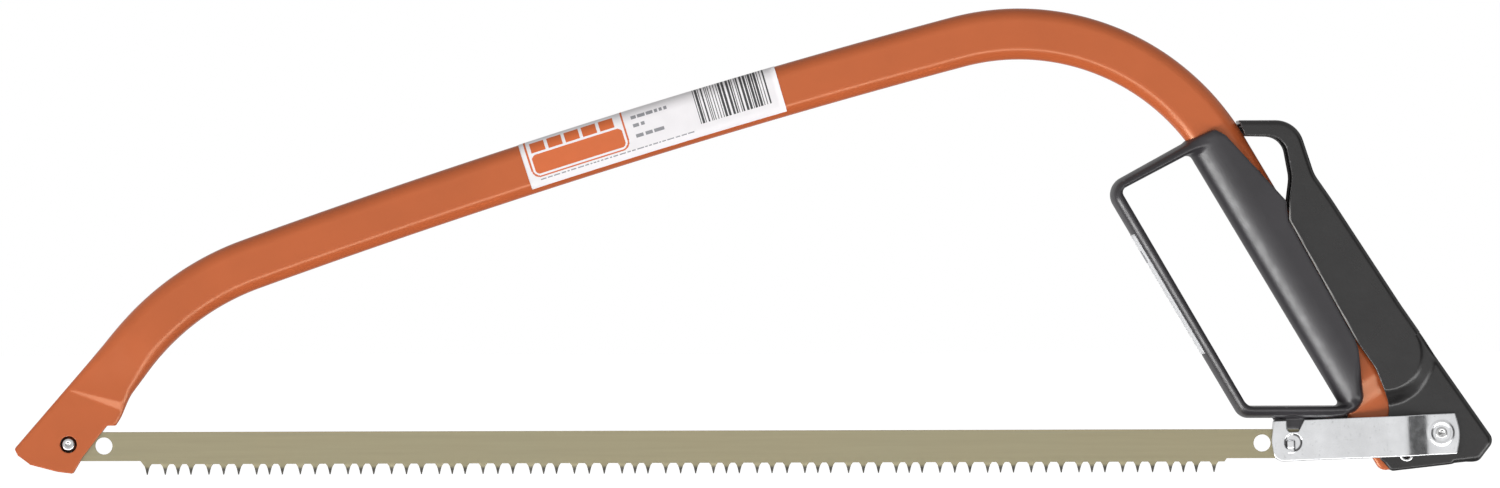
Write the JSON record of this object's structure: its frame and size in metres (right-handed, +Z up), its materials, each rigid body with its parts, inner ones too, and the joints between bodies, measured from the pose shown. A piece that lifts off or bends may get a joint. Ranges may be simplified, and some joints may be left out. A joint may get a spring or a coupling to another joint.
{
  "type": "bow saw",
  "caption": "Bow saw with a bent oval tube frame, toothed blade, moulded grip with knuckle guard and a swinging tension lever.",
  "frame": {"origin": "midpoint of the saw's length, in the blade's plane, at the height of the tooth tips", "axes": "+X along the blade from nose to handle, +Y across the blade away from the labelled side, +Z up from the teeth towards the bow"},
  "size_m": [0.6408, 0.022, 0.2014],
  "materials": {
    "frame_paint": "glossy orange enamel",
    "lever_paint": "semi-gloss charcoal enamel",
    "zinc": "bright zinc plate",
    "blade_steel": "lacquered spring steel, satin",
    "grip_plastic": "fine moulded grain",
    "label_paper": "satin printed film"
  },
  "bodies": {
    "frame": {"frame_tube": "frame_paint", "nose_pin": "zinc", "pivot_bushing": "zinc", "grip_guard": "grip_plastic", "frame_label": "label_paper", "guard_label": "label_paper"},
    "lever": {"tension_lever": "lever_paint", "pivot_rivet": "zinc"},
    "link": {"link_strap_front": "zinc", "link_strap_rear": "zinc", "link_rivet": "zinc", "link_spacer": "zinc"},
    "blade": {"blade": "blade_steel"}
  },
  "joints": [
    {"name": "lever_swing", "type": "hinge", "parent": "frame", "child": "lever", "pos_m": [0.2829, 0, 0.00734], "axis": [0, 1, 0], "range_deg": [0, 90]},
    {"name": "link_pivot", "type": "hinge", "parent": "lever", "child": "link", "pos_m": [0.2979, 0, 0.01699], "axis": [0, 1, 0], "range_deg": [-70.2, 0]},
    {"name": "blade_swing", "type": "hinge", "parent": "frame", "child": "blade", "pos_m": [-0.29698, 0, 0.0133], "axis": [0, 1, 0], "range_deg": [0, 0.45]}
  ],
  "couplings": [
    {"joint": "link_pivot", "follows": "lever_swing", "ratio": -0.78},
    {"joint": "blade_swing", "follows": "lever_swing", "ratio": 0.005}
  ]
}
